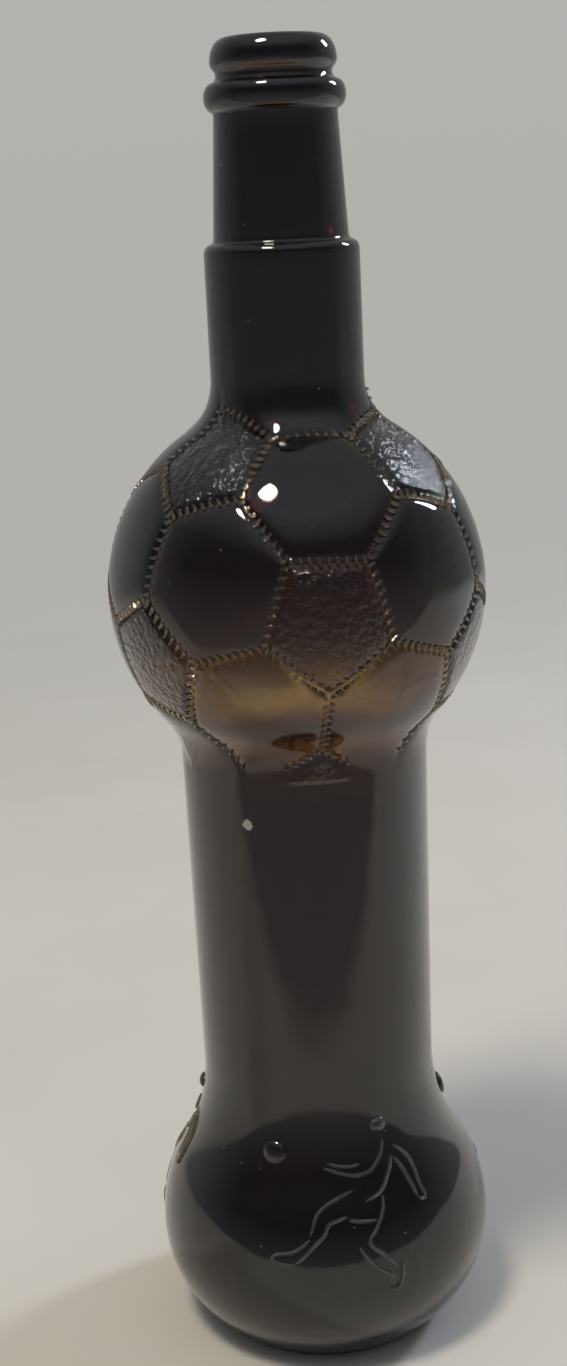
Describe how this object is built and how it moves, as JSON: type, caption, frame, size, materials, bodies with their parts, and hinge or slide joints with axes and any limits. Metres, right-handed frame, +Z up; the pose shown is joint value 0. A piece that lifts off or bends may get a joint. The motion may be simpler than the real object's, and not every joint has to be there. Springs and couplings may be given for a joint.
{
  "type": "glass bottle",
  "caption": "Tall dark glass bottle: stepped neck with a rounded lip and collar, a football-panelled ball body, a straight waist and a bulbous round base.",
  "frame": {"origin": "on the bottle's axis, in the plane of the ring it stands on", "axes": "+Z up the bottle's axis, out of the mouth; -Y towards the front five-sided panel of the ball, which is turned 9.5 degrees towards +X"},
  "size_m": [0.0918, 0.0922, 0.32],
  "materials": {
    "bottle_glass": "dark olive-brown container glass, fire-polished and glossy, with fine scuffs"
  },
  "bodies": {
    "root": {"glass_bottle": "bottle_glass"}
  },
  "joints": []
}
